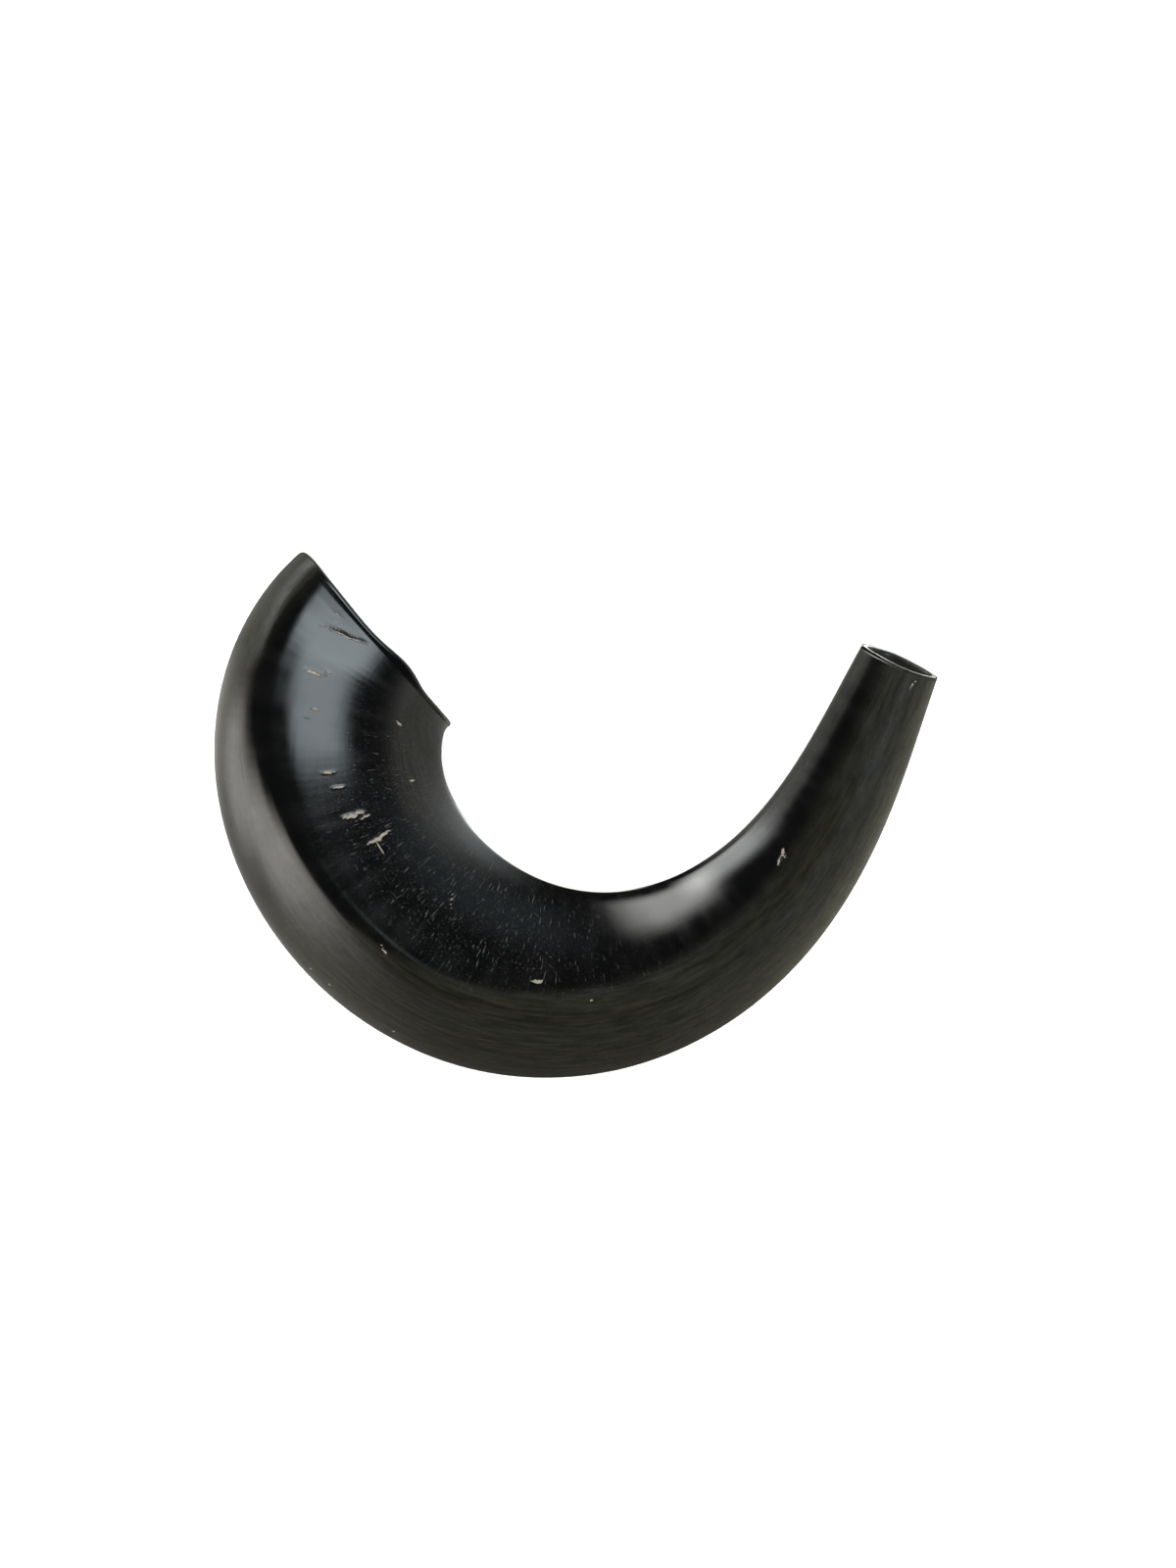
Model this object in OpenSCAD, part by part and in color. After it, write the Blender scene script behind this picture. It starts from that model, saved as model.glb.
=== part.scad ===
// Shofar: one hollow animal horn, cut open at the wide end and drilled through at the tip.
// It lies on its side with the plane of its curve level, so +Z runs across the curve.
// Directions used below: "outer" is the long side of the curve, "inner" the short side.

/* [Centre line] */
// Length of the centre line, seen from above
spine_length = 280; // [270:1:290]
// Direction in which the centre line leaves the bell, in degrees from +X
start_heading = 220.7; // [200:0.1:240]
// Turn of the centre line at the bell, in degrees per centimetre
bend_bell = 16.8; // [14:0.1:17]
// Turn of the centre line at one fifth of the length
bend_throat = 7.2; // [6.8:0.1:8.6]
// Turn of the centre line at two fifths of the length
bend_low = 8.2; // [7:0.1:8.8]
// Turn of the centre line at three fifths of the length
bend_rising = 8.2; // [7.2:0.1:9]
// Turn of the centre line at four fifths of the length
bend_arm = 5.3; // [4.6:0.1:6]
// Turn at the mouthpiece, negative where the tip was straightened for the drill
bend_tip = -1.6; // [-2:0.1:1]

/* [Width in the plane of the curve] */
// Width at the bell
width_bell = 64.2; // [62:0.2:65]
// Width at one fifth of the length
width_throat = 64.4; // [60:0.2:65]
// Width at two fifths of the length
width_low = 61.6; // [58:0.2:64]
// Width at three fifths of the length
width_rising = 47.4; // [44:0.2:50]
// Width at four fifths of the length
width_arm = 33.6; // [32:0.2:37]
// Width at the mouthpiece
width_tip = 23.2; // [22:0.2:26]

/* [Depth across the plane of the curve] */
// Depth at the bell
depth_bell = 46; // [42:0.5:50]
// Depth at one third of the length
depth_low = 47; // [44:0.5:50]
// Depth at two thirds of the length
depth_arm = 30; // [29:0.5:33]
// Depth at the mouthpiece
depth_tip = 17; // [16.5:0.5:19]

/* [Ridges] */
// Share of the radius by which the three rounded ridges stand out
ridge_height = 0.06; // [0.02:0.005:0.07]
// Place of the upper ridge at the bell, in degrees up from the outer side
ridge_start = 40; // [34:1:46]
// Angle by which the ridges wind round the horn from bell to tip
ridge_twist = 60; // [40:1:70]

/* [Lift of the tip] */
// Height by which the mouthpiece is lifted off the ground
lift = 26; // [16:1:30]
// Share of the length at which the lift begins
lift_from = 0.62; // [0.6:0.01:0.7]

/* [Bell] */
// Wall at the bell's rim
rim_wall = 3; // [2.6:0.2:3.6]
// Distance by which the rim's upper edge stands ahead of its lower edge
rim_lean = 1; // [0:0.5:3]
// Height of the rounded edge of the rim
rim_round = 0.8; // [0.4:0.1:1.5]
// Height of the four low waves round the rim
rim_wave = 1; // [0:0.1:1.5]
// Distance by which the rim turns outward on the inner side of the curve
rim_flare = 0.4; // [0:0.1:1.4]

/* [Hollow] */
// Wall where the natural hollow ends
deep_wall = 7.6; // [7:0.2:8]
// Distance from the mouthpiece's face to the end of the natural hollow
hollow_end = 45; // [42:1:50]
// Diameter of the drilled throat
throat_d = 7; // [6.5:0.5:7.5]

/* [Mouthpiece] */
// Depth of the cup
cup_depth = 12; // [10:0.5:14]
// Wall round the cup at the mouthpiece's face
cup_wall = 2; // [1.8:0.1:2.6]
// Radius of the rounded edges on both sides of the face
face_round = 0.5; // [0.3:0.05:0.7]

/* [Hidden] */

horn_black = [0.07, 0.07, 0.065];
bends = [bend_bell, bend_throat, bend_low, bend_rising, bend_arm, bend_tip];
widths = [width_bell, width_throat, width_low, width_rising, width_arm, width_tip];
depths = [depth_bell, depth_low, depth_arm, depth_tip];

sides = 36;            // points round each section
outside_rings = 58;    // sections along the outside
hollow_rings = 38;     // sections along the natural hollow
edge_rings = 5;        // sections round a rounded edge
cup_rings = 7;         // sections down the cup
path_steps = 145;      // short straight steps that lay out the centre line
hollow_dome = 28;      // length over which the natural hollow closes to a dome
flare_reach = 6;       // distance over which the flare at the rim dies away
flare_middle = 172;    // place of the flare, in degrees up from the outer side
wave_start = 32;       // place of the first wave, in degrees up from the outer side
drill_margin = 0.5;    // the drill's radius beyond the narrow ends it breaks into
drill_entry = 3;       // how far above the cup's bottom the drill starts
drill_overrun = 3;     // how far the drill runs on into the hollow

// ---- Plain arithmetic ----
function held(x) = max(0, min(1, x));
function mix(a, b, x) = a + (b - a) * x;
function smooth(x) = let (c = held(x)) c * c * (3 - 2 * c);

// Uniform cubic B-spline through the guide values c, for t from 0 to 1.
function guided(c, t) =
    let (n = len(c),
         p = concat([2 * c[0] - c[1]], c, [2 * c[n - 1] - c[n - 2]]),
         u = held(t) * (n - 1),
         i = min(floor(u), n - 2),
         f = u - i)
    (pow(1 - f, 3) * p[i] + (3 * pow(f, 3) - 6 * f * f + 4) * p[i + 1]
        + (3 * f * f - 3 * pow(f, 3) + 3 * f + 1) * p[i + 2] + pow(f, 3) * p[i + 3]) / 6;

// Straight line between the two nearest entries of an evenly spaced list.
function between(list, t) =
    let (u = held(t) * (len(list) - 1), i = min(floor(u), len(list) - 2))
    mix(list[i], list[i + 1], u - i);

// ---- Centre line ----
step = spine_length / path_steps;
headings = [for (i = 0, h = start_heading; i <= path_steps;
                 h = h + guided(bends, (i + 0.5) / path_steps) * step / 10, i = i + 1) h];
plan = [for (i = 0, p = [0, 0]; i <= path_steps;
             p = p + step * ahead(between(headings, (i + 0.5) / path_steps)), i = i + 1) p];

function ahead(heading) = [cos(heading), sin(heading)];
function lift_share(t) = held((t - lift_from) / (1 - lift_from));
function half_width(t) = guided(widths, t) / 2;
function half_depth(t) = guided(depths, t) / 2;
// The lift starts as a parabola. From its middle on it is straight, so the tip can be drilled.
function lift_curve(x) = (x < 0.5 ? x * x : x - 0.25) / 0.75;
function height(t) = half_depth(t) + lift * lift_curve(lift_share(t));
function centre(t) = let (p = between(plan, t)) [p[0], p[1], height(t)];

// Slope of the lifted part. The sections stand upright where the horn lies on the ground.
function slope(t) = smooth(2 * lift_share(t))
    * atan((height(t) - height(t - 1 / path_steps)) / step);

// ---- Frame of a section: along the horn, toward the outer side, and up ----
function along(t) =
    let (h = between(headings, t), s = slope(t))
    [cos(h) * cos(s), sin(h) * cos(s), sin(s)];
function outward(t) = let (h = between(headings, t)) [sin(h), -cos(h), 0];
function upward(t) =
    let (h = between(headings, t), s = slope(t))
    [-cos(h) * sin(s), -sin(h) * sin(s), cos(s)];

// ---- Outline of a section: a circle with three rounded ridges, stretched to reach 1 each way ----
angles = [for (k = [0 : sides - 1]) k * 360 / sides];
function ridged(a, turn) = (1 + ridge_height * cos(3 * (a - turn))) * [cos(a), sin(a)];
function outline(t) =
    let (raw = [for (a = angles) ridged(a, ridge_start + ridge_twist * t)],
         x = [for (p = raw) p[0]],
         y = [for (p = raw) p[1]],
         middle = [max(x) + min(x), max(y) + min(y)] / 2,
         reach = [max(x) - min(x), max(y) - min(y)] / 2)
    [for (p = raw) [(p[0] - middle[0]) / reach[0], (p[1] - middle[1]) / reach[1]]];

// One ring of points at t, with the given half width and half depth.
// The lists ahead_by and spread move each point along the horn and outward from its middle.
none = [for (a = angles) 0];
function ring(t, half_w, half_d, ahead_by = none, spread = none) =
    let (c = centre(t), o = outward(t), u = upward(t), d = along(t), shape = outline(t))
    [for (k = [0 : sides - 1])
        c + d * ahead_by[k]
            + o * (shape[k][0] * half_w + spread[k] * cos(angles[k]))
            + u * (shape[k][1] * half_d + spread[k] * sin(angles[k]))];

// ---- Outside ----
// The outward turn of the rim, at a distance s from the bell.
function flare(s) =
    [for (a = angles) rim_flare * exp(-s / flare_reach) * pow(held(cos(a - flare_middle)), 2)];
outside = [for (i = [0 : outside_rings])
    let (t = i / outside_rings)
    ring(t, half_width(t), half_depth(t), none, flare(t * spine_length))];

// ---- Bell's rim ----
// The rim stands in front of the first section: ahead at the top, with four low waves.
rim_front = [for (a = angles)
    rim_lean * (1 + sin(a)) / 2 + rim_wave * (1 + cos(4 * (a - wave_start))) / 2];
bell_rim = [for (i = [0 : edge_rings])
    let (a = i * 180 / edge_rings, inset = rim_wall * (1 + cos(a)) / 2)
    ring(0, half_width(0) - inset, half_depth(0) - inset,
         [for (front = rim_front) -front - rim_round * sin(a)], flare(0))];

// ---- Natural hollow, from its domed end to the bell ----
hollow_t = 1 - hollow_end / spine_length;
dome_t = hollow_t - hollow_dome / spine_length;
drill_r = throat_d / 2;
narrow_r = drill_r - drill_margin;
function wall(t) = mix(rim_wall, deep_wall, t / hollow_t);
function dome(t) = sqrt(1 - pow(held((t - dome_t) / (hollow_t - dome_t)), 2));
hollow = [for (i = [0 : hollow_rings - 1])
    let (t = hollow_t * (1 - sin(90 * i / hollow_rings) * i / hollow_rings))
    ring(t, mix(narrow_r, half_width(t) - wall(t), dome(t)),
         mix(narrow_r, half_depth(t) - wall(t), dome(t)), none, flare(t * spine_length))];

// ---- Mouthpiece: rounded outer edge, flat face, rounded inner edge, then the cup ----
function tip_ring(inset, back) =
    ring(1, half_width(1) - inset, half_depth(1) - inset, [for (a = angles) -back]);
outer_edge = [for (i = [1 : edge_rings])
    let (a = i * 90 / edge_rings)
    tip_ring(face_round * (1 - cos(a)), face_round * (1 - sin(a)))];
inner_edge = [for (i = [0 : edge_rings])
    let (a = i * 90 / edge_rings)
    tip_ring(cup_wall - face_round * (1 - sin(a)), face_round * (1 - cos(a)))];
cup = [for (i = [1 : cup_rings])
    let (x = i / cup_rings, closing = 1 - cos(90 * x))
    ring(1, mix(half_width(1) - cup_wall, narrow_r, closing),
         mix(half_depth(1) - cup_wall, narrow_r, closing),
         [for (a = angles) -mix(face_round, cup_depth, x)])];

// ---- The closed skin, ring after ring from the end of the hollow to the bottom of the cup ----
rings = concat(hollow, bell_rim, [for (i = [0 : outside_rings - 1]) outside[i]],
               [ring(1, half_width(1), half_depth(1), [for (a = angles) -face_round])],
               outer_edge, inner_edge, cup);
ring_points = [for (r = rings) each r];
low = [for (axis = [0 : 2]) min([for (p = ring_points) p[axis]])];
high = [for (axis = [0 : 2]) max([for (p = ring_points) p[axis]])];
// The origin is on the ground, below the middle of the horn's outline.
origin = [(low[0] + high[0]) / 2, (low[1] + high[1]) / 2, low[2]];

last = len(rings) - 1;
hollow_cap = len(ring_points);
cup_cap = hollow_cap + 1;
function mean(list) = [for (p = list) 1] * list / len(list);
function at(i, k) = i * sides + k % sides;
skin_faces = concat(
    [for (i = [0 : last - 1], k = [0 : sides - 1]) [at(i, k), at(i, k + 1), at(i + 1, k + 1)]],
    [for (i = [0 : last - 1], k = [0 : sides - 1]) [at(i, k), at(i + 1, k + 1), at(i + 1, k)]],
    [for (k = [0 : sides - 1]) [hollow_cap, at(0, k + 1), at(0, k)]],
    [for (k = [0 : sides - 1]) [at(last, k), at(last, k + 1), cup_cap]]);

module skin() {
    polyhedron(points = concat(ring_points, [mean(rings[0]), mean(rings[last])]),
               faces = skin_faces);
}

// ---- Drilled throat: a straight round bore from the bottom of the cup into the hollow ----
throat_start = centre(1) - cup_depth * along(1);
throat_stop = centre(hollow_t);
throat_line = throat_stop - throat_start;
throat_way = throat_line / norm(throat_line);

module throat() {
    translate(throat_start - throat_way * drill_entry)
        rotate([0, acos(throat_way[2]), atan2(throat_way[1], throat_way[0])])
            cylinder(r = drill_r, h = norm(throat_line) + drill_entry + drill_overrun, $fn = 48);
}

module horn() {
    color(horn_black)
        translate(-origin)
            difference() {
                skin();
                throat();
            }
}

horn();
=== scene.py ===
"""A black ram's-horn shofar lying on its side on a pale floor, seen from straight above.

Lengths of the horn are in millimetres, as in part.scad, and are turned into metres at the end.
A place on the horn is given by t, from 0 at the bell to 1 at the mouthpiece, and by an angle
round the section: 0 at the outer side of the curve, 90 on top, 180 at the inner side.
"Across" is the place across a section, from -1 at the inner side to 1 at the outer side.
"""

import math
import bpy
import numpy as np
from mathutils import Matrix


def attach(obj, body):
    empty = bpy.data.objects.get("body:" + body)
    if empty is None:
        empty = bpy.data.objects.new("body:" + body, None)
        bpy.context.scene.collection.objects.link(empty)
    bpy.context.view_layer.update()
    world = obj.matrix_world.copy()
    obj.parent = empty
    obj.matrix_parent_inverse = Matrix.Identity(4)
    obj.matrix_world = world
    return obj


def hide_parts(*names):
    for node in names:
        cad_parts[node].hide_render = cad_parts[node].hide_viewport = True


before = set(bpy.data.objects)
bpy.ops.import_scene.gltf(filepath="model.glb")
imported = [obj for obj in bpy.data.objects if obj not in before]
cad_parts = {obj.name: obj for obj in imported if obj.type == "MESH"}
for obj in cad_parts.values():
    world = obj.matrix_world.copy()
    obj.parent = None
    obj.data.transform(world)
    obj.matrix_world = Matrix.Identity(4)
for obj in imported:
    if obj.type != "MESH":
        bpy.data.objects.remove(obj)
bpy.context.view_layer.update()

MM = 0.001

# ---- Driving sizes of the horn, in millimetres and degrees ----
SPINE_LENGTH = 280.0
START_HEADING = 220.7
BENDS = [16.8, 7.2, 8.2, 8.2, 5.3, -1.6]           # degrees per centimetre
WIDTHS = [64.2, 64.4, 61.6, 47.4, 33.6, 23.2]
DEPTHS = [46.0, 47.0, 30.0, 17.0]
LIFT = 26.0
LIFT_FROM = 0.62
BELL_AT = (-56.75, 49.86)                          # centre of the bell's mouth in the row frame

# The section's two visible facets: directions of their normals, lengths, and the ridges' radius.
TOP_FACET = [123, 123, 123, 122, 116, 128]
OUTER_FACET = [14, 44, 35, 33, 45, 45]
TOP_LENGTH = [3.4, 2.7, 2.8, 2.4, 2.3, 1.4]
OUTER_LENGTH = [0.8, 1.8, 2.2, 2.3, 1.8, 0.9]
RIDGE_RADIUS = [0.2, 0.22, 0.21, 0.22, 0.3, 0.45]
FACET_SHARPNESS = 16

# The bell's rim: its wall, how far its top leans forward, its wave, and its rounded corners.
RIM_WALL = 3.0
RIM_LEAN = 1.0
RIM_WAVE = 1.3
RIM_WAVE_AT = math.radians(38)
RIM_WAVES = 4
RIM_ROUND = 0.9
OUTER_CORNER = 3.2
INNER_CORNER = 1.3
CORNER_SHARPNESS = 9
OUTER_REACH = 11.0
INNER_REACH = 34.0

# The hollow, the drilled throat and the cup of the mouthpiece.
DEEP_WALL = 7.6
HOLLOW_END = 45.0
HOLLOW_DOME = 28.0
HOLLOW_END_PLACE = 0.84                            # its t, for the material
HOLLOW_ROUGHNESS = 0.35
HOLLOW_GRAIN = 6.0
HOLLOW_ROUGH_FROM = (0.2, 0.6)                     # share of the dome, and what it comes in over
THROAT_RADIUS = 3.5
CUP_DEPTH = 12.0
CUP_WALL = 2.0
FACE_ROUND = 0.8

# Natural unevenness of the outside: length and height of its waves, and where it fades out.
BROAD_LENGTH, BROAD_HEIGHT = 45, 0.10
SWELL_LENGTH, SWELL_HEIGHT = 14, 0.03
RIPPLE_LENGTH, RIPPLE_HEIGHT = 4.5, 0.012
RIPPLE_PATCH = 30
FADE_AT_BELL = 0.10
FADE_AT_TIP = 0.08
CALM_TO, CALM_FADE = 0.06, 0.12                    # calm on the inner side to this t, then over this

# ---- How finely the skin is drawn ----
AROUND = 152                                       # points round each section
PATH_STEPS = 145
OUTSIDE_SPACING = 0.30                             # between rings at the bell, in millimetres
SPACING_MORE = [(0.03, 0.03, 0.165), (0.25, 0.15, 0.6)]   # from t, over t, added spacing
HOLLOW_STEPS = 70
CUP_STEPS = 20
THROAT_STEPS = 12
ROUND_STEPS = 5                                    # rings over each rounded edge of the face
RIM_STEPS = 11
NOISE_COLUMNS = 12                                 # cells of the noise round the section


# ---- Shape functions ----
def guided(values, t):
    """Uniform cubic B-spline through the guide values, for t from 0 to 1."""
    values = np.asarray(values, float)
    count = len(values)
    p = np.r_[2 * values[0] - values[1], values, 2 * values[-1] - values[-2]]
    u = np.clip(t, 0, 1) * (count - 1)
    i = np.minimum(u.astype(int), count - 2)
    f = u - i
    return (
        (1 - f) ** 3 * p[i]
        + (3 * f**3 - 6 * f**2 + 4) * p[i + 1]
        + (3 * f**2 - 3 * f**3 + 3 * f + 1) * p[i + 2]
        + f**3 * p[i + 3]
    ) / 6


def smooth(x):
    """Smooth step: 0 up to 0, and 1 from 1."""
    x = np.clip(x, 0, 1)
    return x * x * (3 - 2 * x)


def rising(x, start, reach):
    """0 before start, rising smoothly to 1 over reach."""
    return smooth((x - start) / reach)


def centre_line():
    """Returns the steps' t, headings in degrees, and x and y in the row frame."""
    step = SPINE_LENGTH / PATH_STEPS
    middle = (np.arange(PATH_STEPS) + 0.5) / PATH_STEPS
    headings = START_HEADING + np.r_[0, np.cumsum(guided(BENDS, middle) * step / 10)]
    ways = np.radians((headings[1:] + headings[:-1]) / 2)
    x = BELL_AT[0] + np.r_[0, np.cumsum(np.cos(ways) * step)]
    y = BELL_AT[1] + np.r_[0, np.cumsum(np.sin(ways) * step)]
    return np.arange(PATH_STEPS + 1) / PATH_STEPS, headings, x, y


PATH = centre_line()


def half_width(t):
    return guided(WIDTHS, t) / 2


def half_depth(t):
    return guided(DEPTHS, t) / 2


def height(t):
    """Height of the centre line: the horn lies on the ground, then its tip lifts."""
    x = np.clip((t - LIFT_FROM) / (1 - LIFT_FROM), 0, 1)
    return half_depth(t) + LIFT * np.where(x < 0.5, x * x, x - 0.25) / 0.75


def frames(t):
    """Centres of the sections at t, and their directions along, outward and up."""
    heading = np.radians(np.interp(t, PATH[0], PATH[1]))
    centre = np.stack([np.interp(t, PATH[0], PATH[2]), np.interp(t, PATH[0], PATH[3]), height(t)], -1)
    rise = np.arctan((height(t) - height(t - 1 / PATH_STEPS)) / (SPINE_LENGTH / PATH_STEPS))
    slope = smooth(2 * (t - LIFT_FROM) / (1 - LIFT_FROM)) * rise
    c, s = np.cos(heading), np.sin(heading)
    along = np.stack([c * np.cos(slope), s * np.cos(slope), np.sin(slope)], -1)
    outward = np.stack([s, -c, 0 * c], -1)
    up = np.stack([-c * np.sin(slope), -s * np.sin(slope), np.cos(slope)], -1)
    return centre, along, outward, up


def angles_round():
    """Angles of the points round a section, closer together on the visible upper side."""
    even = np.arange(AROUND) / AROUND * 2 * np.pi
    return even + 0.4 * np.cos(even)


ANGLES = angles_round()


def outlines(t):
    """Outlines of the sections at t, two arrays reaching from -1 to 1 each way.

    Each outline is drawn by its radius of curvature: large on the facets, small on the ridges.
    """
    fine = np.radians(np.arange(0, 360, 1.0))
    step = fine[1] - fine[0]
    top = np.radians(guided(TOP_FACET, t))[:, None]
    outer = np.radians(guided(OUTER_FACET, t))[:, None]
    radius = (
        guided(RIDGE_RADIUS, t)[:, None]
        + guided(TOP_LENGTH, t)[:, None] * np.cos(fine - top) ** FACET_SHARPNESS
        + guided(OUTER_LENGTH, t)[:, None] * np.cos(fine - outer) ** FACET_SHARPNESS
    )
    x = np.cumsum(-radius * np.sin(fine) * step, 1)
    y = np.cumsum(radius * np.cos(fine) * step, 1)
    x = (2 * x - x.max(1, keepdims=True) - x.min(1, keepdims=True)) / np.ptp(x, 1)[:, None]
    y = (2 * y - y.max(1, keepdims=True) - y.min(1, keepdims=True)) / np.ptp(y, 1)[:, None]
    out_x, out_y = np.empty((len(t), AROUND)), np.empty((len(t), AROUND))
    for i in range(len(t)):
        polar = np.unwrap(np.arctan2(y[i], x[i]))
        polar = np.r_[polar - 2 * np.pi, polar, polar + 2 * np.pi]
        out_x[i] = np.interp(ANGLES, polar, np.tile(x[i], 3))
        out_y[i] = np.interp(ANGLES, polar, np.tile(y[i], 3))
    return out_x, out_y


def corner_shifts(t):
    """How far the bell's outer corner is rounded back, and its inner corner outward."""
    outer_fade = 1 - smooth(t * SPINE_LENGTH / OUTER_REACH)
    inner_fade = 1 - smooth(t * SPINE_LENGTH / INNER_REACH)
    outer = np.clip(np.cos(ANGLES), 0, 1) ** CORNER_SHARPNESS
    inner = np.clip(-np.cos(ANGLES), 0, 1) ** CORNER_SHARPNESS
    return OUTER_CORNER * outer_fade[:, None] * outer, INNER_CORNER * inner_fade[:, None] * inner


def rings(t, inset=0.0, ahead=0.0, half=None):
    """Points of the sections at t, moved inward by inset and along the horn by ahead."""
    t = np.atleast_1d(np.asarray(t, float))
    centre, along, outward, up = frames(t)
    x, y = outlines(t)
    wide, deep = half if half is not None else (half_width(t), half_depth(t))
    wide = np.broadcast_to(wide - inset, t.shape)
    deep = np.broadcast_to(deep - inset, t.shape)
    back, shift = corner_shifts(t)
    ahead = np.broadcast_to(ahead, x.shape) + back
    return (
        centre[:, None, :]
        + outward[:, None, :] * (x * wide[:, None] + shift)[..., None]
        + up[:, None, :] * (y * deep[:, None])[..., None]
        + along[:, None, :] * ahead[..., None]
    )


# ---- Seeded smooth noise on the straightened horn ----
def value_noise(u, v, seed):
    """Smooth noise from -1 to 1. v repeats after 1."""
    rng = np.random.RandomState(seed)
    rows, columns = int(np.ceil(u.max())) + 3, NOISE_COLUMNS
    table = rng.uniform(-1, 1, (rows, columns))
    i, j = np.floor(u).astype(int), np.floor(v * columns).astype(int)
    fu, fv = smooth(u - i), smooth(v * columns - j)
    i, j, k = i % rows, j % columns, (j + 1) % columns
    i2 = (i + 1) % rows
    low = table[i, j] * (1 - fv) + table[i, k] * fv
    high = table[i2, j] * (1 - fv) + table[i2, k] * fv
    return low * (1 - fu) + high * fu


def relief(t, angle):
    """Height of the horn's natural unevenness, in millimetres."""
    s = t * SPINE_LENGTH
    v = (angle / (2 * np.pi)) % 1.0
    mirrored = abs(v - 0.5) / 2
    broad = value_noise(s / BROAD_LENGTH, mirrored, 1)
    swell = value_noise(s / SWELL_LENGTH, mirrored, 2)
    patches = 0.5 + 0.5 * value_noise(s / RIPPLE_PATCH, v, 4)
    ripple = value_noise(s / RIPPLE_LENGTH, v, 3) * patches
    return BROAD_HEIGHT * broad + SWELL_HEIGHT * swell + RIPPLE_HEIGHT * ripple


# ---- Nicks, chips and cracks ----
FLAW_SEED = 11
FLAW_MARGIN = 3                                    # how far past its length a flaw can reach
FLAW_STEEPNESS = 2.5
LIP = 1.3                                          # a crack's pale lip, in half widths beside it
SWAYS = [(0.35, 5.1), (0.25, 11)]                  # of its edges: half widths, radians per half length

# Each: t, place across, length and width in mm, turn in degrees from straight across, bow,
# depth in mm, kind.
FLAWS = [
    (0.013, 0.17, 17.5, 0.75, -20, 0.01, 0.05, "crack"),
    (0.006, 0.36, 5.0, 0.4, -21, 0.00, 0.015, "chip"),
    (0.010, 0.29, 5.5, 0.3, -23, 0.00, 0.015, "chip"),
    (0.055, 0.22, 7.5, 1.1, -12, 0.00, 0.10, "chip"),
    (0.050, 0.10, 2.5, 0.5, -10, 0.00, 0.08, "chip"),
    (0.085, 0.12, 3.8, 0.7, -3, 0.00, 0.08, "chip"),
    (0.093, 0.17, 3.0, 0.5, 4, 0.00, 0.08, "chip"),
    (0.146, -0.05, 4.5, 0.8, 2, 0.03, 0.10, "chip"),
    (0.163, -0.10, 4.5, 0.7, 0, 0.02, 0.10, "chip"),
    (0.197, -0.17, 8.0, 1.4, 3, 0.00, 0.14, "chip"),
    (0.203, -0.24, 5.0, 0.7, -6, 0.02, 0.10, "chip"),
    (0.232, -0.29, 8.5, 1.2, -4, 0.00, 0.14, "chip"),
    (0.243, -0.25, 5.0, 0.6, 88, 0.00, 0.10, "chip"),
    (0.324, 0.30, 6.0, 0.9, -65, 0.05, 0.15, "chip"),
    (0.342, -0.42, 7.0, 0.5, -32, 0.00, 0.10, "chip"),
    (0.469, -0.03, 4.5, 1.2, 92, 0.06, 0.20, "chip"),
    (0.522, 0.16, 3.0, 0.6, 72, 0.00, 0.10, "chip"),
    (0.768, -0.28, 3.0, 0.8, 60, 0.00, 0.30, "chip"),
    (0.775, -0.34, 3.5, 1.4, 30, 0.00, 0.50, "crack"),
    (0.076, -0.61, 2.8, 0.7, 23, 0.10, 0.10, "chip"),
    (0.175, -0.73, 2.2, 0.6, 10, 0.00, 0.10, "chip"),
    (0.309, 0.91, 4.5, 0.4, 101, 0.00, 0.08, "chip"),
    (0.290, 0.93, 4.0, 0.4, 101, 0.00, 0.08, "chip"),
    (0.365, 0.92, 3.0, 0.7, 40, 0.00, 0.08, "chip"),
    (0.990, 0.45, 4.8, 0.65, 106, 0.00, 0.06, "chip"),
]


def surface_ways(normal, t):
    """Directions across and along the horn at t, within the surface that has this normal."""
    _, along, _, _ = frames(np.array([t]))
    lengthwise = along[0] - normal * (along[0] @ normal)
    lengthwise /= np.linalg.norm(lengthwise)
    return np.cross(normal, lengthwise), lengthwise


def flaw_places(offset, ways, length, width, turn):
    """Places along and across a flaw, in half lengths and half widths from its middle."""
    sideways, lengthwise = offset @ ways[0], offset @ ways[1]
    cosine, sine = math.cos(math.radians(turn)), math.sin(math.radians(turn))
    along = sideways * cosine + lengthwise * sine
    across = lengthwise * cosine - sideways * sine
    return along / (length / 2), across / (width / 2)


def raise_to(layer, near, value):
    """Raises a layer's values near a flaw to at least value."""
    layer[near] = np.maximum(layer[near], value)


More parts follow.
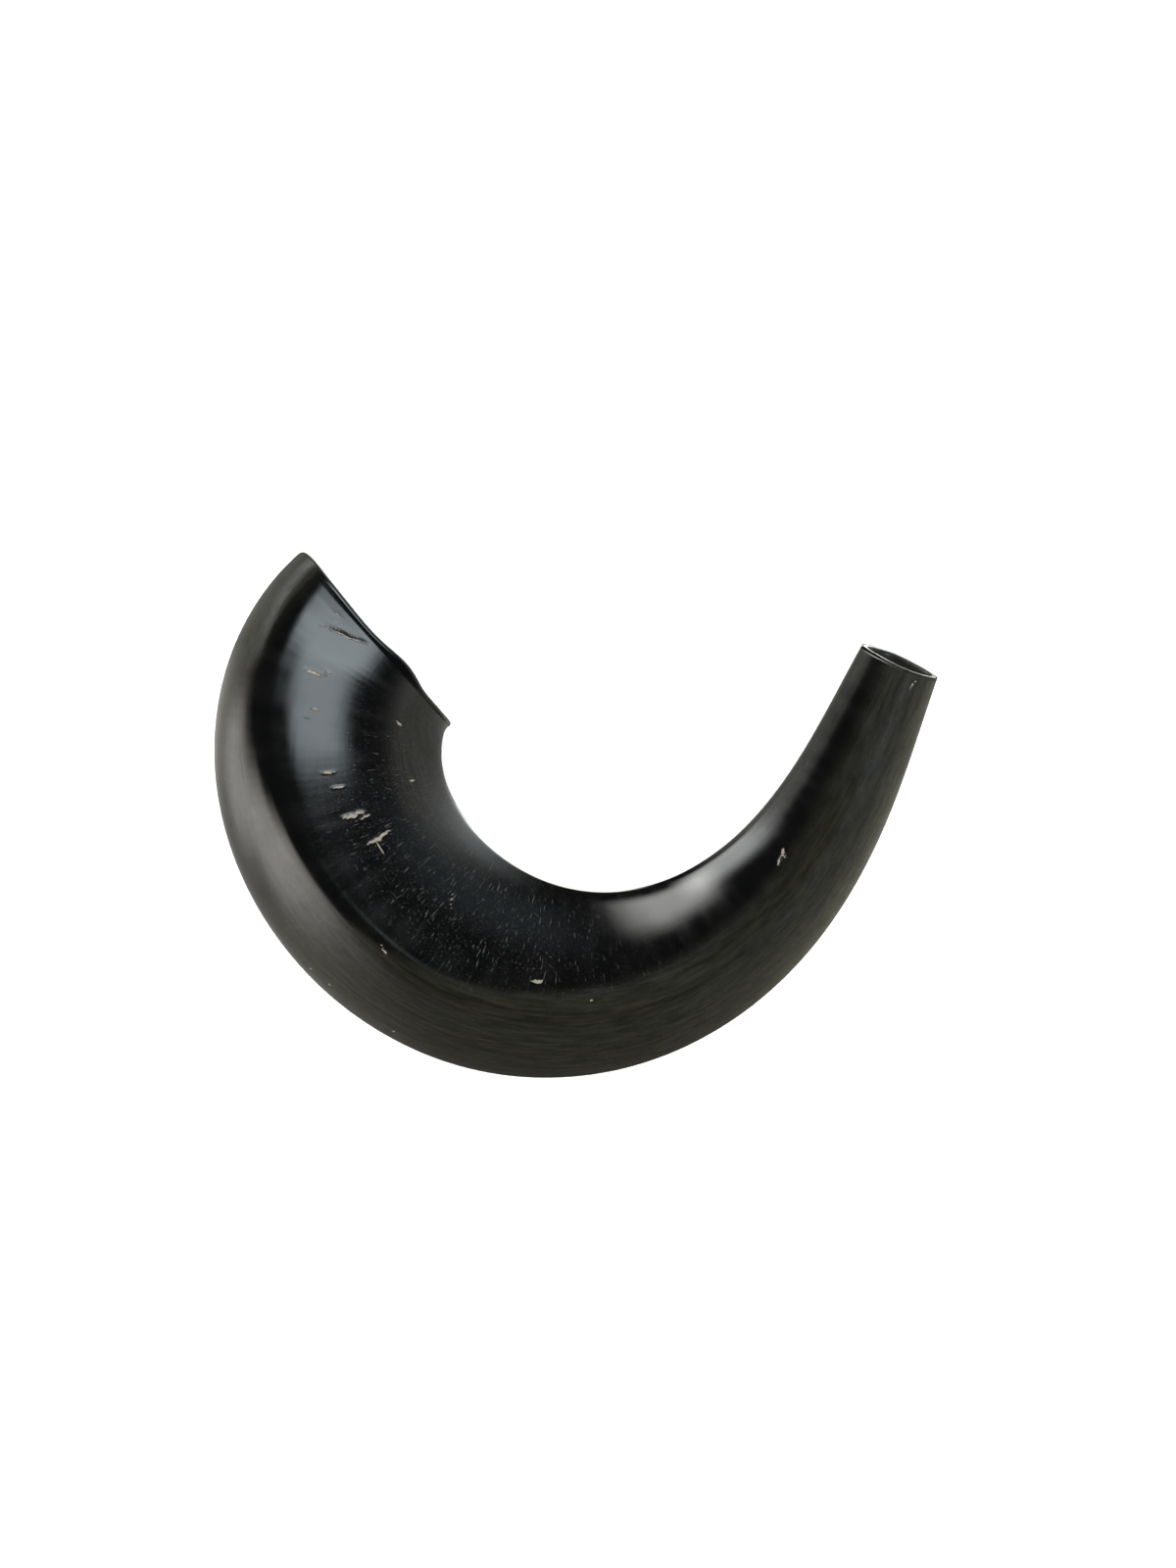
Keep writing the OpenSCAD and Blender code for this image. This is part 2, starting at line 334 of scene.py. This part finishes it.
def add_flaws(points, normals, t):
    """Presses the flaws into the grid, and returns how pale and how dark each point becomes."""
    rng = np.random.RandomState(FLAW_SEED)
    pale = np.zeros(points.shape[:2])
    dark = np.zeros(points.shape[:2])
    pressed = np.zeros(points.shape[:2])
    outline_x, outline_y = outlines(t)
    for place, across, length, width, turn, bow, depth, kind in FLAWS:
        row = int(np.argmin(abs(t - place)))
        column = int(np.argmin(np.where(outline_y[row] > 0, abs(outline_x[row] - across), np.inf)))
        ways = surface_ways(normals[row, column], t[row])
        offset = points - points[row, column]
        near = (offset**2).sum(-1) < (length + FLAW_MARGIN) ** 2
        u, v = flaw_places(offset[near], ways, length, width, turn)
        v = v - bow * length * (u * u - 0.3)
        for sway, rate in SWAYS:
            v = v - sway * np.sin(rate * u + rng.uniform(0, 6))
        field = 1 - np.sqrt(u * u + v**2)
        shown = np.clip(0.5 + 0.5 * field, 0, 1)
        if kind == "crack":
            lip = 1 - np.sqrt(u * u + (v - LIP) ** 2)
            raise_to(dark, near, shown)
            raise_to(pale, near, np.clip(0.5 + 0.4 * lip, 0, 1))
        else:
            raise_to(pale, near, shown)
        raise_to(pressed, near, depth * smooth(field * FLAW_STEEPNESS))
    return points - normals * pressed[..., None], pale, dark


def grid_normals(points):
    """Outward normals of a grid of rings, closed round the section."""
    round_way = np.roll(points, -1, 1) - np.roll(points, 1, 1)
    normals = np.cross(np.gradient(points, axis=0), round_way)
    return normals / np.linalg.norm(normals, axis=-1, keepdims=True)


# ---- Parts of the horn's skin, each a stack of rings ----
def outside_steps():
    """Places of the rings along the outside, closest together at the bell, where the nicks are."""
    t = [0.0]
    while t[-1] < 1:
        spacing = OUTSIDE_SPACING
        for start, reach, more in SPACING_MORE:
            spacing += more * smooth((t[-1] - start) / reach)
        t.append(t[-1] + spacing / SPINE_LENGTH)
    t = np.array(t)
    return t / t[-1]


def outside():
    """Rings of the outside, how pale and dark their points are, and their places."""
    t = outside_steps()
    points = rings(t)
    normals = grid_normals(points)
    fade = smooth(t / FADE_AT_BELL) * smooth((1 - t) / FADE_AT_TIP)
    calm = smooth(-2 * np.cos(ANGLES))[None, :]
    calm = calm * (1 - smooth((t - CALM_TO) / CALM_FADE))[:, None]
    fade = fade[:, None] * (1 - calm)
    every_t, every_angle = np.meshgrid(t, ANGLES, indexing="ij")
    points = points + normals * (relief(every_t, every_angle) * fade)[..., None]
    points, pale, dark = add_flaws(points, normals, t)
    points[:, :, 2] = np.maximum(points[:, :, 2], 0.0)
    return points, pale, dark, t


def rim_front():
    """How far the bell's rim stands in front of the first section, round the rim."""
    lean = RIM_LEAN * (1 + np.sin(ANGLES)) / 2
    wave = RIM_WAVE * (1 + np.cos(RIM_WAVES * (ANGLES - RIM_WAVE_AT))) / 2
    return lean + wave * smooth(2 * np.sin(ANGLES))


def bell_rim():
    """Rings round the rim: out along the inside, over the rounded edge, back along the outside."""
    front = rim_front()
    stack = [rings([0.0], RIM_WALL, -front * x)[0] for x in (0.3, 0.6, 0.9)]
    for a in np.linspace(0, np.pi, RIM_STEPS):
        inset = RIM_WALL * (1 + math.cos(a)) / 2
        stack.append(rings([0.0], inset, -front - RIM_ROUND * math.sin(a))[0])
    stack += [rings([0.0], 0.0, -front * x)[0] for x in (0.75, 0.5, 0.25)]
    return np.array(stack)


def hollow():
    """Rings of the natural hollow, from its domed end to the bell."""
    end = 1 - HOLLOW_END / SPINE_LENGTH
    start = end - HOLLOW_DOME / SPINE_LENGTH
    x = np.linspace(0, 1, HOLLOW_STEPS)
    t = end * (1 - np.sin(x * np.pi / 2) * x)[:-1]
    dome = np.sqrt(np.clip(1 - np.clip((t - start) / (end - start), 0, 1) ** 2, 0, 1))
    wall = RIM_WALL + (DEEP_WALL - RIM_WALL) * t / end
    wide = THROAT_RADIUS + (half_width(t) - wall - THROAT_RADIUS) * dome
    deep = THROAT_RADIUS + (half_depth(t) - wall - THROAT_RADIUS) * dome
    points = rings(t, half=(wide, deep))
    s, v = np.meshgrid(t * SPINE_LENGTH, ANGLES / (2 * np.pi), indexing="ij")
    rough = HOLLOW_ROUGHNESS * value_noise(s / HOLLOW_GRAIN, v, 8)
    fade = rising(dome, *HOLLOW_ROUGH_FROM)[:, None]
    return points + grid_normals(points) * (rough * fade)[..., None]


def tip_ring(inset, back, half=None):
    """One ring at the mouthpiece, moved inward by inset and back into the horn."""
    return rings([1.0], inset, -back, half)[0]


def mouthpiece():
    """Rings over the flat face of the mouthpiece and down its cup."""
    stack = []
    for a in np.linspace(0.15, np.pi / 2, ROUND_STEPS):
        stack.append(tip_ring(FACE_ROUND * (1 - math.cos(a)), FACE_ROUND * (1 - math.sin(a))))
    for a in np.linspace(0, np.pi / 2, ROUND_STEPS):
        inset = CUP_WALL - FACE_ROUND * (1 - math.sin(a))
        stack.append(tip_ring(inset, FACE_ROUND * (1 - math.cos(a))))
    tip = np.array([1.0])
    wide, deep = half_width(tip) - CUP_WALL, half_depth(tip) - CUP_WALL
    for x in np.linspace(0.05, 1, CUP_STEPS):
        closing = 1 - math.cos(x * np.pi / 2)
        half = (wide + (THROAT_RADIUS - wide) * closing, deep + (THROAT_RADIUS - deep) * closing)
        stack.append(tip_ring(0, FACE_ROUND + (CUP_DEPTH - FACE_ROUND) * x, half))
    return np.array(stack)


def throat():
    """Rings of the straight drilled throat, from the cup to the hollow."""
    centre, along, outward, up = frames(np.array([1.0, 1 - HOLLOW_END / SPINE_LENGTH]))
    start = centre[0] - along[0] * CUP_DEPTH
    stack = []
    for x in np.linspace(0, 1, THROAT_STEPS)[1:-1]:
        middle = start + (centre[1] - start) * x
        across = outward[0] + (outward[1] - outward[0]) * x
        above = up[0] + (up[1] - up[0]) * x
        ring = across * np.cos(ANGLES)[:, None] + above * np.sin(ANGLES)[:, None]
        stack.append(middle + THROAT_RADIUS * ring)
    return np.array(stack)


# ---- Where the polish is worn, and where its brown paints a reflection, for every ring's place t and every angle ----
SATIN_AT = [0.0, 0.2, 0.35, 0.5, 0.78, 1.0]
SATIN_EDGE = [0.9, 0.5, 0.25, 0.05, -0.15, -0.3]   # place across where the satin begins
SATIN_WIDTH_AT = [0.5, 0.85]
SATIN_WIDTH = [0.12, 0.55]                         # how gradually, across, it begins there
SHEEN_WIDTH = 0.2
SHEEN, WORN, GRIPPED = 0.35, 0.6, 0.45             # how dull the lesser stretches are

# Where a stretch begins, and over how much it comes in: by t, or across, or toward the inner side.
BEYOND_BELL = (0.12, 0.25)
CORNER_ACROSS, CORNER_END = (0.62, 0.2), (0.05, 0.05)
WORN_INWARD, WORN_END = (0.5, 0.2), (0.15, 0.2)
GRIPPED_INWARD, GRIPPED_FROM = (0.6, 0.15), (0.74, 0.08)
MUTED_AT = [0.3, 0.6, 0.85]
MUTED_MIDDLE = [0.24, 0.24, 0.05]                  # place across of the muted ridge
MUTED_FROM, MUTED_END = (0.24, 0.12), (0.80, 0.12)
MUTED_ACROSS = (0.16, 1.6)                         # fade and edge, as in band()
DUST_ALONG = (0.32, 0.30, 1.3)                     # middle, fade and edge
DUST_ACROSS = (-0.45, 0.6, 1.4)


def across_of(place):
    """Place across the section, from -1 inner to 1 outer, of every point."""
    return outlines(place)[0]


def band(x, middle, fade, edge):
    """1 near middle, fading to 0 at edge times fade away from it."""
    return smooth(edge - abs(x - middle) / fade)


def satin_and_painted_reflection(place):
    """Where the polish is duller: the outer half, browner past the bell, and both inner ends. The
    brown is partly a painted reflection of the pale floor.
    """
    across = across_of(place)
    t = place[:, None]
    edge = np.interp(t, SATIN_AT, SATIN_EDGE)
    width = np.interp(t, SATIN_WIDTH_AT, SATIN_WIDTH)
    beyond = smooth((across - edge) / width + 0.5) * rising(t, *BEYOND_BELL)
    corner = rising(across, *CORNER_ACROSS) * (1 - rising(t, *CORNER_END))
    sheen = SHEEN * smooth((across - edge) / SHEEN_WIDTH + 0.5)
    worn = WORN * rising(-across, *WORN_INWARD) * (1 - rising(t, *WORN_END))
    gripped = GRIPPED * rising(-across, *GRIPPED_INWARD) * rising(t, *GRIPPED_FROM)
    return np.maximum.reduce([beyond, corner, sheen, worn, gripped])


def muted(place):
    """Where the ridge between the facets is worn and reflects little, past the first third."""
    t = place[:, None]
    middle = np.interp(t, MUTED_AT, MUTED_MIDDLE)
    ridge = band(across_of(place), middle, *MUTED_ACROSS)
    return ridge * rising(t, *MUTED_FROM) * (1 - rising(t, *MUTED_END))


def dust(place):
    """Where fine pale scratches are scattered over the black polish."""
    return band(place[:, None], *DUST_ALONG) * band(across_of(place), *DUST_ACROSS)


# ---- The horn as one mesh ----
def add_attribute(mesh, name, values):
    layer = mesh.attributes.new(name, "FLOAT", "POINT")
    layer.data.foreach_set("value", np.asarray(values, np.float32).reshape(-1))


def add_straight(mesh, place):
    """Every point's place on the straightened horn, in centimetres."""
    radius = half_width(place)[:, None] / 10
    straight = np.stack([
        place[:, None] * SPINE_LENGTH / 10 + 0 * ANGLES,
        radius * np.cos(ANGLES),
        radius * np.sin(ANGLES),
    ], -1)
    layer = mesh.attributes.new("straight", "FLOAT_VECTOR", "POINT")
    layer.data.foreach_set("vector", straight.reshape(-1).astype(np.float32))


def add_map(mesh, place):
    """A texture map: along the horn one way, round it the other."""
    corners = np.empty(len(mesh.loops), int)
    mesh.loops.foreach_get("vertex_index", corners)
    row, column = corners // AROUND, corners % AROUND
    first = np.repeat(column.reshape(-1, 4)[:, :1], 4, 1).reshape(-1)
    column = np.where((first == AROUND - 1) & (column == 0), AROUND, column)
    spots = np.stack([place[row], column / AROUND], -1)
    layer = mesh.uv_layers.new(name="UVMap")
    layer.data.foreach_set("uv", spots.reshape(-1).astype(np.float32))


def ring_mesh(points, name):
    """A closed smooth mesh of a ring of rings."""
    rows = len(points)
    i, k = np.meshgrid(np.arange(rows), np.arange(AROUND), indexing="ij")
    here, below = i * AROUND, (i + 1) % rows * AROUND
    beside = (k + 1) % AROUND
    faces = np.stack([here + k, below + k, below + beside, here + beside], -1)
    mesh = bpy.data.meshes.new(name)
    mesh.from_pydata((points.reshape(-1, 3) * MM).tolist(), [], faces.reshape(-1, 4).tolist())
    mesh.polygons.foreach_set("use_smooth", [True] * len(mesh.polygons))
    return mesh


def build_horn():
    """The whole skin as one closed mesh, with the attributes that its material reads."""
    skin, pale, dark, t = outside()
    tip, bore, inner, rim = mouthpiece(), throat(), hollow(), bell_rim()
    points = np.concatenate([skin, tip, bore, inner, rim])
    mesh = ring_mesh(points, "shofar_horn")
    horn = bpy.data.objects.new("shofar_horn", mesh)
    bpy.context.collection.objects.link(horn)

    hollow_places = np.linspace(HOLLOW_END_PLACE, 0, len(inner))
    place = np.r_[t, np.ones(len(tip) + len(bore)), hollow_places, np.zeros(len(rim))]
    rows, count = len(points), len(skin)
    inside = np.zeros(rows)
    inside[count + 2 * ROUND_STEPS - 1:rows - RIM_STEPS - 3] = 1.0
    plain = np.zeros((rows - count, AROUND))
    add_attribute(mesh, "pale", np.r_[pale, plain])
    add_attribute(mesh, "dark", np.r_[dark, plain])
    add_attribute(mesh, "inside", inside[:, None] + np.zeros(AROUND))
    # The satin share: duller polish, and the brown that is partly a painted reflection of the pale
    # floor
    add_attribute(mesh, "satin_and_painted_reflection", satin_and_painted_reflection(place))
    add_attribute(mesh, "dust", dust(place))
    add_attribute(mesh, "muted", muted(place))
    add_straight(mesh, place)
    add_map(mesh, place)
    mesh.materials.append(polished_horn())
    mesh.update()
    return horn


# ---- Node helpers ----
def node(tree, kind, **settings):
    made = tree.nodes.new(kind)
    for name, value in settings.items():
        setattr(made, name, value)
    return made


def plug(tree, source, target):
    """Links source to target, or sets target when source is a number or colour."""
    if isinstance(source, bpy.types.NodeSocket):
        tree.links.new(source, target)
    else:
        target.default_value = source


def maths(tree, operation, a, b=0.0, c=0.0):
    made = node(tree, "ShaderNodeMath", operation=operation)
    for value, socket in zip((a, b, c), made.inputs):
        plug(tree, value, socket)
    return made.outputs[0]


def times(tree, a, b):
    return maths(tree, "MULTIPLY", a, b)


def plus(tree, a, b):
    return maths(tree, "ADD", a, b)


def line(tree, value, slope, start):
    """A straight line: start when value is 0, and slope more when it is 1."""
    return maths(tree, "MULTIPLY_ADD", value, slope, start)


def ramp(tree, value, low, high, bottom=0.0, top=1.0):
    """Smooth step of value from low to high, giving bottom to top."""
    made = node(tree, "ShaderNodeMapRange", interpolation_type="SMOOTHSTEP")
    names = ("Value", "From Min", "From Max", "To Min", "To Max")
    for name, source in zip(names, (value, low, high, bottom, top)):
        plug(tree, source, made.inputs[name])
    return made.outputs["Result"]


def blend(tree, share, first, second):
    made = node(tree, "ShaderNodeMix", data_type="RGBA")
    plug(tree, share, made.inputs[0])
    plug(tree, first, made.inputs[6])
    plug(tree, second, made.inputs[7])
    return made.outputs[2]


def attribute(tree, name, output="Fac"):
    return node(tree, "ShaderNodeAttribute", attribute_name=name).outputs[output]


def noise(tree, stretch, detail, rough):
    """Noise on the straightened horn, whose centimetres are stretched along, out and up."""
    spot = node(tree, "ShaderNodeMapping")
    plug(tree, attribute(tree, "straight", "Vector"), spot.inputs["Vector"])
    spot.inputs["Scale"].default_value = stretch
    made = node(tree, "ShaderNodeTexNoise")
    plug(tree, spot.outputs[0], made.inputs["Vector"])
    made.inputs["Scale"].default_value = 1.0
    made.inputs["Detail"].default_value = detail
    made.inputs["Roughness"].default_value = rough
    return made.outputs["Fac"]


# ---- Materials ----
# Two colours are the ends of a range that the grain runs through.
# BROWN_AND_PAINTED_REFLECTION is the horn's duller brown and partly a painted reflection of the pale
# floor, on the satin stretches
BROWN_AND_PAINTED_REFLECTION = ((0.0032, 0.0032, 0.0021, 1), (0.0092, 0.0088, 0.0055, 1))
BLACK = ((0.0007, 0.0007, 0.0007, 1), (0.0015, 0.0015, 0.0013, 1))
FIBRE = ((0.035, 0.030, 0.023, 1), (0.21, 0.185, 0.145, 1))
HOLLOW_COLOUR = (0.0050, 0.0044, 0.0034, 1)
DUST_COLOUR = (0.075, 0.075, 0.070, 1)
DUST_SHARE = 0.30
GROOVE_COLOUR = (0.0020, 0.0020, 0.0016, 1)
WHITE = (1, 1, 1, 1)
FLOOR_COLOUR = (0.78, 0.78, 0.78, 1)
GRAIN_HEIGHT = 0.0004                              # metres, for the bump
GRAIN_STRENGTH = 0.25

# Noises: stretch along, out and up, then detail and roughness.
FIBRES = ((0.35, 9.0, 9.0), 6.0, 0.65)
BANDS = ((2.2, 0.5, 0.5), 4.0, 0.5)
CLOUDS = ((0.5, 0.9, 0.9), 3.0, 0.5)
GRIT = ((30.0, 60.0, 60.0), 2.0, 0.5)
RAGGED = ((16.0, 5.0, 5.0), 5.0, 0.75)
SPECKS = ((20.0, 26.0, 26.0), 3.0, 0.7)
SCRATCHES = ((24.0, 2.2, 2.2), 3.0, 0.6)
MOTTLE = ((3.0, 7.0, 7.0), 6.0, 0.75)

# Gloss of the polish, and the change or share of it on each kind of wear.
GLOSS = 0.5
SATIN_CHANGE = -0.27
MUTED_CHANGE = -0.78
GROOVE_SHARE = 0.15

# Roughness: the polish's least and most, and what the wear adds or sets.
POLISH_ROUGHNESS = (0.07, 0.15)
SATIN_ROUGHER = 0.30
FIBRES_ROUGHER = 0.06
DUST_ROUGHER = 0.25
INSIDE_ROUGHER = 0.25
CHIP_ROUGHNESS = 0.8


def horn_masks(tree):
    """The grain and the shares of wear that colour, gloss, roughness and bump are made from. The satin
    share also lays in the brown that is partly a painted reflection of the pale floor.
    """
    ragged = maths(tree, "SUBTRACT", noise(tree, *RAGGED), 0.5)
    speck = ramp(tree, noise(tree, *SPECKS), 0.58, 0.72)
    scratch = ramp(tree, noise(tree, *SCRATCHES), 0.62, 0.70)
    uneven = ramp(tree, noise(tree, *CLOUDS), 0.2, 0.6, 0.75, 1.0)
    chipping = plus(tree, attribute(tree, "pale"), times(tree, ragged, 0.9))
    return {
        "fibres": noise(tree, *FIBRES),
        "bands": noise(tree, *BANDS),
        "grit": noise(tree, *GRIT),
        "satin_and_painted_reflection": times(tree, attribute(tree, "satin_and_painted_reflection"), uneven),
        "inside": attribute(tree, "inside"),
        "chipped": ramp(tree, chipping, 0.52, 0.66),
        "dusty": times(tree, maths(tree, "MAXIMUM", speck, scratch), attribute(tree, "dust")),
        "groove": ramp(tree, attribute(tree, "dark"), 0.50, 0.62),
    }


def horn_colour(tree, mask):
    """Black, brown where it is satin, pale fibres in the chips, dust, and dark in the cracks. The
    brown is partly a painted reflection of the pale floor.
    """
    brown_and_painted_reflection = blend(tree, ramp(tree, mask["fibres"], 0.3, 0.7), *BROWN_AND_PAINTED_REFLECTION)
    black = blend(tree, ramp(tree, mask["bands"], 0.35, 0.75), *BLACK)
    fibre = blend(tree, ramp(tree, mask["grit"], 0.35, 0.65), *FIBRE)
    # Brown over the satin stretches: partly the horn's colour, partly a painted reflection of the pale
    # floor
    colour = blend(tree, mask["satin_and_painted_reflection"], black, brown_and_painted_reflection)
    colour = blend(tree, mask["inside"], colour, HOLLOW_COLOUR)
    colour = blend(tree, mask["chipped"], colour, fibre)
    colour = blend(tree, times(tree, mask["dusty"], DUST_SHARE), colour, DUST_COLOUR)
    return blend(tree, mask["groove"], colour, GROOVE_COLOUR)


def horn_gloss(tree, mask):
    """Less reflection where it is satin, mottled there, and little on the ridge and in cracks."""
    mottle = ramp(tree, noise(tree, *MOTTLE), 0.3, 0.7, 0.70, 1.25)
    gloss = line(tree, mask["satin_and_painted_reflection"], SATIN_CHANGE, GLOSS)
    gloss = times(tree, gloss, ramp(tree, mask["groove"], 0.0, 1.0, 1.0, GROOVE_SHARE))
    gloss = times(tree, gloss, line(tree, attribute(tree, "muted"), MUTED_CHANGE, 1.0))
    return times(tree, gloss, blend(tree, mask["satin_and_painted_reflection"], WHITE, mottle))


def horn_roughness(tree, mask):
    """Smooth polish in bands, duller where it is satin, dusty, chipped or inside."""
    polish = ramp(tree, mask["bands"], 0.3, 0.8, *POLISH_ROUGHNESS)
    dull = line(tree, mask["satin_and_painted_reflection"], SATIN_ROUGHER, polish)
    dull = plus(tree, dull, times(tree, mask["fibres"], FIBRES_ROUGHER))
    dull = plus(tree, dull, times(tree, mask["dusty"], DUST_ROUGHER))
    dull = plus(tree, dull, times(tree, mask["inside"], INSIDE_ROUGHER))
    return maths(tree, "MAXIMUM", dull, times(tree, mask["chipped"], CHIP_ROUGHNESS))


def horn_bump(tree, mask):
    """Fine grain: fibres, stronger where it is satin, and grit in the chips."""
    grain = times(tree, mask["fibres"], line(tree, mask["satin_and_painted_reflection"], 1.0, 0.10))
    grit = times(tree, mask["grit"], line(tree, mask["chipped"], 2.0, 0.02))
    bump = node(tree, "ShaderNodeBump")
    bump.inputs["Strength"].default_value = GRAIN_STRENGTH
    bump.inputs["Distance"].default_value = GRAIN_HEIGHT
    plug(tree, plus(tree, grain, grit), bump.inputs["Height"])
    return bump.outputs[0]


def polished_horn():
    """Black polished horn: dull brown on its outer side, pale fibres where it is chipped. The brown is
    partly a painted reflection of the pale floor.
    """
    material = bpy.data.materials.new("polished_horn")
    material.use_nodes = True
    tree = material.node_tree
    shader = tree.nodes["Principled BSDF"]
    mask = horn_masks(tree)
    plug(tree, horn_colour(tree, mask), shader.inputs["Base Color"])
    plug(tree, horn_gloss(tree, mask), shader.inputs["Specular IOR Level"])
    plug(tree, horn_roughness(tree, mask), shader.inputs["Roughness"])
    plug(tree, horn_bump(tree, mask), shader.inputs["Normal"])
    shader.inputs["IOR"].default_value = 1.5
    return material


def pale_floor():
    """Matt and pale."""
    material = bpy.data.materials.new("pale_floor")
    material.use_nodes = True
    shader = material.node_tree.nodes["Principled BSDF"]
    shader.inputs["Base Color"].default_value = FLOOR_COLOUR
    shader.inputs["Roughness"].default_value = 0.9
    shader.inputs["Specular IOR Level"].default_value = 0.0
    return material


# ---- Surroundings ----
FLOOR_HALF = 6.0                                   # metres


def build_floor():
    """One square that the polish doesn't reflect."""
    corners = [(x * FLOOR_HALF, y * FLOOR_HALF, 0) for x, y in ((-1, -1), (1, -1), (1, 1), (-1, 1))]
    mesh = bpy.data.meshes.new("floor")
    mesh.from_pydata(corners, [], [(0, 1, 2, 3)])
    mesh.materials.append(pale_floor())
    floor = bpy.data.objects.new("floor", mesh)
    bpy.context.collection.objects.link(floor)
    floor.visible_glossy = False
    return floor


# Soft windows that the polish reflects: azimuth of the middle, half width, lowest and highest
# angle from straight up, softness, colour and strength. Angles in degrees.
WINDOWS = [
    (104, 19, 52, 82, 8, (1.00, 1.00, 0.97), 6.4),
    (134, 22, 62, 95, 8, (0.97, 1.00, 0.98), 6.8),
    (188, 12, 86, 112, 8, (1.00, 0.97, 0.93), 3.6),
    (207, 14, 66, 92, 8, (1.00, 0.96, 0.91), 5.0),
    (216, 14, 50, 70, 7, (1.00, 0.96, 0.91), 4.2),
    (206, 34, 74, 160, 12, (1.00, 0.96, 0.88), 0.65),
    (155, 28, 100, 160, 14, (1.00, 0.98, 0.86), 0.8),
    (331, 11, 8, 48, 4, (0.84, 0.95, 1.00), 6.2),
    (359, 18, 20, 43, 5, (0.84, 0.95, 1.00), 5.2),
    (287, 72, 80, 150, 12, (1.00, 0.95, 0.66), 0.2),
    (328, 18, 90, 150, 9, (1.00, 0.97, 0.68), 0.9),
    (2, 42, 66, 150, 10, (0.98, 1.00, 0.94), 0.8),
    (48, 20, 47, 70, 8, (0.70, 0.90, 1.00), 0.3),
    (66, 30, 136, 166, 8, (1.00, 1.00, 0.90), 5.2),
    (41, 12, 80, 150, 12, (0.90, 0.97, 1.00), 1.6),
]
DIM = (0.035, 0.04, 0.045)                         # what the polish reflects between the windows
DOME = 3.2                                         # even light on everything matt


def window(tree, azimuth, polar, middle, half, low, high, soft, colour, strength):
    """A soft-edged patch of light in the sky, as a colour."""
    turn = maths(tree, "SUBTRACT", azimuth, math.radians(middle))
    turn = maths(tree, "WRAP", turn, math.pi, -math.pi)
    away = maths(tree, "ABSOLUTE", turn)
    side = ramp(tree, away, math.radians(half + soft), math.radians(half - soft))
    lower = ramp(tree, polar, math.radians(low - soft), math.radians(low + soft))
    upper = ramp(tree, polar, math.radians(high + soft), math.radians(high - soft))
    share = times(tree, times(tree, side, lower), upper)
    made = node(tree, "ShaderNodeVectorMath", operation="SCALE")
    made.inputs[0].default_value = colour
    plug(tree, times(tree, share, strength), made.inputs["Scale"])
    return made.outputs[0]


def reflected_sky(tree):
    """The windows and the dimness between them, as a colour."""
    split = node(tree, "ShaderNodeSeparateXYZ")
    plug(tree, node(tree, "ShaderNodeTexCoord").outputs["Generated"], split.inputs[0])
    azimuth = maths(tree, "ARCTAN2", split.outputs[1], split.outputs[0])
    polar = maths(tree, "ARCCOSINE", split.outputs[2])
    dim = node(tree, "ShaderNodeCombineXYZ")
    for value, socket in zip(DIM, dim.inputs):
        socket.default_value = value
    total = dim.outputs[0]
    for settings in WINDOWS:
        made = node(tree, "ShaderNodeVectorMath", operation="ADD")
        plug(tree, total, made.inputs[0])
        plug(tree, window(tree, azimuth, polar, *settings), made.inputs[1])
        total = made.outputs[0]
    return total


def set_light():
    """Even light on the floor, and soft windows that only the polish sees."""
    world = bpy.data.worlds.new("studio")
    bpy.context.scene.world = world
    world.use_nodes = True
    world.cycles.sampling_method = "NONE"
    tree = world.node_tree
    tree.nodes.clear()
    seen = node(tree, "ShaderNodeLightPath")
    dome = blend(tree, seen.outputs["Is Camera Ray"], (DOME, DOME, DOME, 1), WHITE)
    colour = blend(tree, seen.outputs["Is Glossy Ray"], dome, reflected_sky(tree))
    background = node(tree, "ShaderNodeBackground")
    plug(tree, colour, background.inputs["Color"])
    output = node(tree, "ShaderNodeOutputWorld")
    plug(tree, background.outputs[0], output.inputs[0])


CAMERA_AT = (0.00368, 0.00904, 0.950)
CAMERA_TURN = math.radians(-0.38)
LENS = 74.75
SENSOR_WIDTH = 36.0


def set_camera():
    """Straight above the horn, looking down."""
    data = bpy.data.cameras.new("camera")
    data.lens = LENS
    data.sensor_width = SENSOR_WIDTH
    data.clip_start = 0.05
    data.clip_end = 50.0
    camera = bpy.data.objects.new("camera", data)
    camera.location = CAMERA_AT
    camera.rotation_euler = (0.0, 0.0, CAMERA_TURN)
    bpy.context.collection.objects.link(camera)
    scene = bpy.context.scene
    scene.camera = camera
    scene.view_settings.view_transform = "Standard"


def main():
    horn = build_horn()
    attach(horn, "root")
    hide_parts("horn")
    floor = build_floor()
    set_light()
    set_camera()


main()
